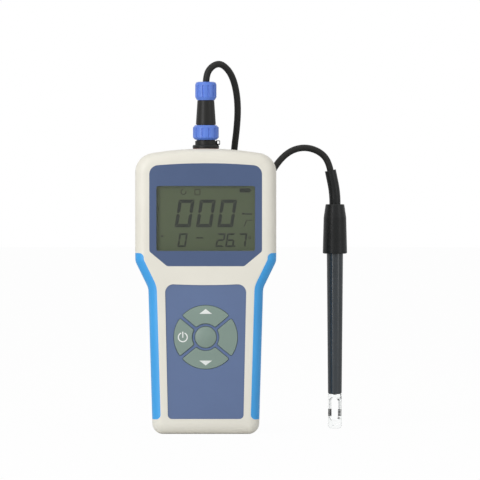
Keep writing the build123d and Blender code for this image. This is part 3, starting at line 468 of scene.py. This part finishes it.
for direction, side in (("up", 1), ("down", -1)):
    arrow = [
        (-ARROW_HALF_WIDTH, WHEEL_Z + side * ARROW_FOOT),
        (ARROW_HALF_WIDTH, WHEEL_Z + side * ARROW_FOOT),
        (0.0, WHEEL_Z + side * ARROW_TIP),
    ]
    legend("arrow_" + direction, [arrow[::side]], "key_" + direction + "_body")
power_symbol = arc_bars(
    POWER_X, WHEEL_Z, POWER_RADIUS, POWER_STROKE, POWER_START, POWER_END, POWER_STEPS
)
power_symbol.append(
    block(
        POWER_X - POWER_STROKE / 2, WHEEL_Z - POWER_STEM_DROP, POWER_STROKE, POWER_STEM_HEIGHT
    )
)
legend("power_symbol", power_symbol, "key_power_body")


# Board and what it carries
# A green glass-fibre board screwed to the front moulding, seen only with the case open.
# Chips, two can capacitors, gold contact pads and a connector for the socket's wires.

SCRATCH_SIZE, SCRATCH_DEPTH, SCRATCH_DETAIL = 0.6 * MM, 0.002 * MM, 4.0
METAL_PATCH = 4.0 * MM
METAL_SHINE_MARGIN = 0.08

board_mask = moulded(
    "board_mask",
    light=(0.020, 0.20, 0.08),
    dark=(0.014, 0.15, 0.06),
    roughness=0.35,
    grain_size=0.8 * MM,
    grain_depth=0.01 * MM,
)
dress(board_mask, "main_board")
chip_body = moulded(
    "chip_body",
    light=(0.030, 0.030, 0.032),
    dark=(0.024, 0.024, 0.026),
    roughness=0.5,
    grain_size=0.2 * MM,
    grain_depth=0.005 * MM,
)
dress(chip_body, "board_chips", "board_capacitors")


def metal(name, light, dark, roughness):
    """Plated metal with faint wear in its shine."""
    material, shader = new_finish(name)
    tree = material.node_tree
    shader.inputs["Metallic"].default_value = 1.0
    colour_patches(tree, shader, light, dark, METAL_PATCH)
    uneven_shine(tree, shader, roughness, METAL_SHINE_MARGIN, SCRATCH_SIZE, SCRATCH_DETAIL)
    grain(tree, shader, SCRATCH_SIZE / 2, SCRATCH_DEPTH)
    return material


contact_gold = metal(
    "contact_gold", light=(0.78, 0.60, 0.24), dark=(0.70, 0.52, 0.20), roughness=0.3
)
dress(contact_gold, "key_contacts", "socket_pins", "plug_contacts")
dress(frame_plastic, "lead_connector")


# Screws
# Four case screws sunk into the back and six board screws, zinc-plated steel.

screw_steel = metal(
    "screw_steel", light=(0.60, 0.60, 0.61), dark=(0.48, 0.48, 0.50), roughness=0.34
)
dress(screw_steel, "case_screws", "board_screws")


# Batteries and their bay
# Three round cells side by side in a tub, each turned the other way up from its neighbour.
# A nickel-plated leaf presses each flat end and a plain plate meets each button.

spring_steel = metal(
    "spring_steel", light=(0.70, 0.69, 0.66), dark=(0.58, 0.57, 0.54), roughness=0.28
)
dress(spring_steel, "battery_springs", "battery_contacts")
cell_sleeve = moulded(
    "cell_sleeve",
    light=(0.05, 0.22, 0.20),
    dark=(0.045, 0.20, 0.18),
    roughness=0.3,
    grain_size=0.4 * MM,
    grain_depth=0.003 * MM,
)
dress(cell_sleeve, "battery_cells")
dress(case_plastic, "battery_door")


# Panel socket
# A round plastic socket clamped in the top of the case over a red-brown silicone ring.
# Its barrel takes the plug's nut, and a ring with an eye sits round its neck.

connector_nylon = moulded(
    "connector_nylon",
    light=(0.012, 0.012, 0.011),
    dark=(0.009, 0.009, 0.008),
    roughness=0.42,
    grain_size=0.3 * MM,
    grain_depth=0.006 * MM,
    gloss=0.25,
)
dress(connector_nylon, "socket_body", "socket_nut", "tether_ring", "plug_body", "snap_ring")
gasket_silicone = moulded(
    "gasket_silicone",
    light=(0.26, 0.050, 0.022),
    dark=(0.20, 0.040, 0.018),
    roughness=0.5,
    grain_size=0.3 * MM,
    grain_depth=0.006 * MM,
)
dress(gasket_silicone, "socket_gasket")
insert_plastic = moulded(
    "insert_plastic",
    light=(0.52, 0.43, 0.29),
    dark=(0.46, 0.38, 0.25),
    roughness=0.5,
    grain_size=0.3 * MM,
    grain_depth=0.006 * MM,
)
dress(insert_plastic, "socket_insert", "plug_insert")
wire_jacket = moulded(
    "wire_jacket",
    light=(0.55, 0.08, 0.06),
    dark=(0.45, 0.06, 0.05),
    roughness=0.4,
    grain_size=0.3 * MM,
    grain_depth=0.003 * MM,
)
dress(wire_jacket, "socket_wires", "plug_wires")


# Plug
# A black tapered housing between two blue ribbed nuts: the lower one screws it to the socket,
# the upper one tightens a rubber bush round the cable.

nut_nylon = moulded(
    "nut_nylon",
    light=(0.110, 0.225, 0.720),
    dark=(0.095, 0.200, 0.660),
    roughness=0.38,
    grain_size=0.3 * MM,
    grain_depth=0.006 * MM,
    patch=10.0 * MM,
)
dress(nut_nylon, "coupling_nut", "gland_nut")
bush_rubber = moulded(
    "bush_rubber",
    light=(0.05, 0.05, 0.05),
    dark=(0.04, 0.04, 0.04),
    roughness=0.6,
    grain_size=0.3 * MM,
    grain_depth=0.006 * MM,
)
dress(bush_rubber, "gland_bush")


# Cable
# One metre of round four millimetre cable with a smooth soft jacket.
# It arches out of the plug, drops behind the case into a tied coil, and rises to the probe.

cable_jacket = moulded(
    "cable_jacket",
    light=(0.017, 0.017, 0.015),
    dark=(0.013, 0.013, 0.012),
    roughness=0.5,
    grain_size=0.4 * MM,
    grain_depth=0.006 * MM,
    patch=8.0 * MM,
    gloss=0.22,
)
CABLE_DIAMETER = 4.0 * MM
SPLINE_ORDER = 3
ROUTE_STEPS = 6
CABLE_ROUNDNESS = 5
plug_to_coil = [
    (0.0, 0.0, 0.206),
    (0.0, 0.0, 0.214),
    (0.0036, 0.0011, 0.2193),
    (0.0082, 0.0029, 0.221),
    (0.0124, 0.0052, 0.2183),
    (0.0159, 0.0080, 0.213),
    (0.0182, 0.0113, 0.2048),
    (0.0192, 0.0149, 0.1942),
    (0.0185, 0.0185, 0.182),
    (0.0166, 0.0218, 0.1676),
    (0.0163, 0.0242, 0.150),
    (0.0186, 0.0256, 0.129),
    (0.0228, 0.0262, 0.107),
    (0.0270, 0.0267, 0.085),
    (0.0285, 0.0272, 0.064),
    (0.0287, 0.0284, 0.045),
    (0.0287, 0.0314, 0.0294),
    (0.0285, 0.0376, 0.0182),
    (0.02815, 0.0464, 0.0109),
]
coil_to_probe = [
    (0.01075, 0.0232, 0.003),
    (0.0180, 0.0220, 0.0031),
    (0.0235, 0.0214, 0.0053),
    (0.0275, 0.0210, 0.0097),
    (0.0294, 0.0208, 0.0156),
    (0.0297, 0.0207, 0.0236),
    (0.0295, 0.0206, 0.036),
    (0.0294, 0.0207, 0.054),
    (0.0298, 0.0210, 0.072),
    (0.0301, 0.0220, 0.091),
    (0.0304, 0.0242, 0.111),
    (0.0318, 0.0272, 0.1305),
    (0.0355, 0.0302, 0.1478),
    (0.0424, 0.0327, 0.1607),
    (0.0502, 0.0346, 0.1684),
    (0.0592, 0.0363, 0.1709),
    (0.0679, 0.0375, 0.1686),
    (0.07388, 0.0380, 0.16296),
    (0.0752, 0.0380, 0.1566),
]
COIL_CENTRE = Vector((0.003, 0.050))
INNER_TURN, OUTER_TURN = 20.95 * MM, 25.05 * MM
LOW_LAYER, HIGH_LAYER = 2.95 * MM, 7.05 * MM
COIL_STEP = 20
# The coil's stations: the angle in degrees, the turn's radius and the layer's height.
coil_stations = [
    (20, OUTER_TURN, HIGH_LAYER),
    (330, OUTER_TURN, HIGH_LAYER),
    (390, INNER_TURN, HIGH_LAYER),
    (630, INNER_TURN, HIGH_LAYER),
    (690, INNER_TURN, LOW_LAYER),
    (930, INNER_TURN, LOW_LAYER),
    (990, OUTER_TURN, LOW_LAYER),
    (1340, OUTER_TURN, LOW_LAYER),
]
COIL_START, COIL_END = coil_stations[0][0], coil_stations[-1][0]


def between_stations(angle):
    """The coil's radius and height at an angle, eased from one station to the next."""
    for before, after in zip(coil_stations, coil_stations[1:]):
        if angle <= after[0]:
            share = (angle - before[0]) / (after[0] - before[0])
            ease = share * share * (3 - 2 * share)
            radius = before[1] + (after[1] - before[1]) * ease
            height = before[2] + (after[2] - before[2]) * ease
            return radius, height
    return coil_stations[-1][1:]


coil_turns = []
for degrees in range(COIL_START, COIL_END + 1, COIL_STEP):
    turn_radius, turn_height = between_stations(degrees)
    # A round spline runs inside its control points, so they stand a little further out.
    reach = turn_radius / math.cos(math.radians(COIL_STEP / 2))
    coil_turns.append(
        (
            COIL_CENTRE.x + reach * math.cos(math.radians(degrees)),
            COIL_CENTRE.y + reach * math.sin(math.radians(degrees)),
            turn_height,
        )
    )
cable_points = plug_to_coil + coil_turns + coil_to_probe
route = bpy.data.curves.new("cable_route", "CURVE")
route.dimensions = "3D"
route.resolution_u = ROUTE_STEPS
run = route.splines.new("NURBS")
run.points.add(len(cable_points) - 1)
for point, place in zip(run.points, cable_points):
    point.co = (*place, 1.0)
run.order_u = SPLINE_ORDER
run.use_endpoint_u = True
route_object = bpy.data.objects.new("cable_route", route)
bpy.context.scene.collection.objects.link(route_object)


def as_mesh(source):
    """The mesh that an object shows once its settings are applied."""
    ready = source.evaluated_get(bpy.context.evaluated_depsgraph_get())
    return bpy.data.meshes.new_from_object(ready)


cable_path = [tuple(vertex.co) for vertex in as_mesh(route_object).vertices]
route.bevel_depth = CABLE_DIAMETER / 2
route.bevel_resolution = CABLE_ROUNDNESS
route.use_fill_caps = True
cable = bpy.data.objects.new("cable", as_mesh(route_object))
bpy.context.scene.collection.objects.link(cable)
bpy.data.objects.remove(route_object)
for face in cable.data.polygons:
    face.use_smooth = True
cable.data.materials.clear()
cable.data.materials.append(cable_jacket)
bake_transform(cable)
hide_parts("cable_from_plug", "cable_coil", "cable_to_probe")
tie_weave = moulded(
    "tie_weave",
    light=(0.022, 0.022, 0.022),
    dark=(0.014, 0.014, 0.014),
    roughness=0.8,
    grain_size=0.5 * MM,
    grain_depth=0.06 * MM,
    patch=2.0 * MM,
)
dress(tie_weave, "cable_tie")


# Probe
# A rubber sleeve and a black moulded head over a polished dark tube in two lengths.
# The clear tip at its foot is the measuring cell, with two dark plates in a slot.

probe_rubber = moulded(
    "probe_rubber",
    light=(0.009, 0.010, 0.010),
    dark=(0.007, 0.008, 0.008),
    roughness=0.38,
    grain_size=0.4 * MM,
    grain_depth=0.006 * MM,
    patch=10.0 * MM,
    gloss=0.25,
)
dress(probe_rubber, "strain_relief", "probe_cap")
shaft_plastic = moulded(
    "shaft_plastic",
    light=(0.040, 0.048, 0.054),
    dark=(0.036, 0.043, 0.048),
    roughness=0.16,
    grain_size=2.0 * MM,
    grain_depth=0.002 * MM,
)
dress(shaft_plastic, "probe_shaft", "cell_collar")
resin = moulded(
    "resin",
    light=(0.04, 0.04, 0.04),
    dark=(0.03, 0.03, 0.03),
    roughness=0.4,
    grain_size=1.0 * MM,
    grain_depth=0.01 * MM,
)
dress(resin, "potting_resin", "temperature_sensor")

cell_acrylic, acrylic_shader = new_finish("cell_acrylic")
acrylic_shader.inputs["Base Color"].default_value = (0.97, 0.985, 0.98, 1.0)
acrylic_shader.inputs["Roughness"].default_value = 0.04
acrylic_shader.inputs["IOR"].default_value = 1.49
acrylic_shader.inputs["Transmission Weight"].default_value = 1.0
dress(cell_acrylic, "probe_tip")
electrode_black = metal(
    "electrode_black", light=(0.06, 0.06, 0.06), dark=(0.04, 0.04, 0.04), roughness=0.5
)
dress(electrode_black, "electrode_plates")
lead_metal = metal(
    "lead_metal", light=(0.62, 0.62, 0.62), dark=(0.5, 0.5, 0.5), roughness=0.3
)
dress(lead_metal, "electrode_leads")


# Floor, light and camera
# A round white floor in an evenly lit white room, and a long lens nearly level with the case.
# The soft boxes stand at the front left, at the front right and above.

WHITE = (1.0, 1.0, 1.0, 1.0)
FLOOR_RADIUS, FLOOR_SIDES = 4.0, 96
FLOOR_GREY, FLOOR_ROUGHNESS = (0.80, 0.80, 0.80, 1.0), 0.6
FLOOR_GLOW = 0.97
ROOM_LIGHT = 0.40
LAMP_AIM = Vector((0.02, 0.0, 0.10))
CAMERA_TARGET = Vector((0.0204, -0.016, 0.1158))
CAMERA_DISTANCE = 2.5
CAMERA_RISE = math.radians(1.5)
FRAME_WIDTH = 0.2851
SENSOR_WIDTH = 36.0


def rays_of(tree, *kinds):
    """1 for a light ray of any of the kinds, else 0."""
    rays = tree.nodes.new("ShaderNodeLightPath")
    found = rays.outputs[kinds[0]]
    for kind in kinds[1:]:
        either = tree.nodes.new("ShaderNodeMath")
        either.operation = "MAXIMUM"
        tree.links.new(found, either.inputs[0])
        tree.links.new(rays.outputs[kind], either.inputs[1])
        found = either.outputs[0]
    return found


def add_floor():
    """A floor that keeps the object's shadow and looks nearly white to the camera."""
    mesh = bmesh.new()
    bmesh.ops.create_circle(mesh, cap_ends=True, segments=FLOOR_SIDES, radius=FLOOR_RADIUS)
    data = bpy.data.meshes.new("floor")
    mesh.to_mesh(data)
    mesh.free()
    floor = bpy.data.objects.new("floor", data)
    bpy.context.scene.collection.objects.link(floor)
    material, shader = new_finish("floor_white")
    tree = material.node_tree
    shader.inputs["Base Color"].default_value = FLOOR_GREY
    shader.inputs["Roughness"].default_value = FLOOR_ROUGHNESS
    glow = tree.nodes.new("ShaderNodeEmission")
    glow.inputs["Strength"].default_value = 1.0
    share = tree.nodes.new("ShaderNodeMath")
    share.operation = "MULTIPLY"
    tree.links.new(rays_of(tree, "Is Camera Ray", "Is Transmission Ray"), share.inputs[0])
    share.inputs[1].default_value = FLOOR_GLOW
    mix_on_surface(tree, share.outputs[0], shader.outputs["BSDF"], glow.outputs["Emission"])
    data.materials.append(material)


def add_lamp(name, place, width, height, power):
    """A soft box that faces the object."""
    light = bpy.data.lights.new(name, "AREA")
    light.shape = "RECTANGLE"
    light.size = width
    light.size_y = height
    light.energy = power
    lamp = bpy.data.objects.new(name, light)
    lamp.location = place
    lamp.rotation_mode = "QUATERNION"
    lamp.rotation_quaternion = (LAMP_AIM - Vector(place)).to_track_quat("-Z", "Y")
    bpy.context.scene.collection.objects.link(lamp)


def add_world():
    """Even room light, with full white seen by the camera, in mirrors and through glass."""
    world = bpy.data.worlds.new("studio")
    bpy.context.scene.world = world
    world.use_nodes = True
    tree = world.node_tree
    backdrop = only_node(tree, "BACKGROUND")
    backdrop.inputs["Color"].default_value = WHITE
    level = tree.nodes.new("ShaderNodeMapRange")
    level.inputs["To Min"].default_value = ROOM_LIGHT
    level.inputs["To Max"].default_value = 1.0
    seen = rays_of(tree, "Is Camera Ray", "Is Glossy Ray", "Is Transmission Ray")
    tree.links.new(seen, level.inputs["Value"])
    tree.links.new(level.outputs["Result"], backdrop.inputs["Strength"])


add_floor()
add_lamp("lamp_left", place=(-0.75, -0.95, 0.55), width=0.5, height=1.1, power=9.0)
add_lamp("lamp_right", place=(0.95, -0.70, 0.45), width=0.4, height=1.0, power=2.0)
add_lamp("lamp_top", place=(0.0, -0.1, 1.3), width=0.8, height=0.8, power=2.5)
add_world()

towards_camera = Vector((0.0, -math.cos(CAMERA_RISE), math.sin(CAMERA_RISE)))
lens = bpy.data.cameras.new("camera")
lens.sensor_width = SENSOR_WIDTH
lens.lens = SENSOR_WIDTH * CAMERA_DISTANCE / FRAME_WIDTH
lens.clip_start = 0.1
lens.clip_end = 20.0
camera = bpy.data.objects.new("camera", lens)
camera.location = CAMERA_TARGET + towards_camera * CAMERA_DISTANCE
camera.rotation_mode = "QUATERNION"
camera.rotation_quaternion = (-towards_camera).to_track_quat("-Z", "Y")
bpy.context.scene.collection.objects.link(camera)
bpy.context.scene.camera = camera
bpy.context.scene.view_settings.view_transform = "Standard"
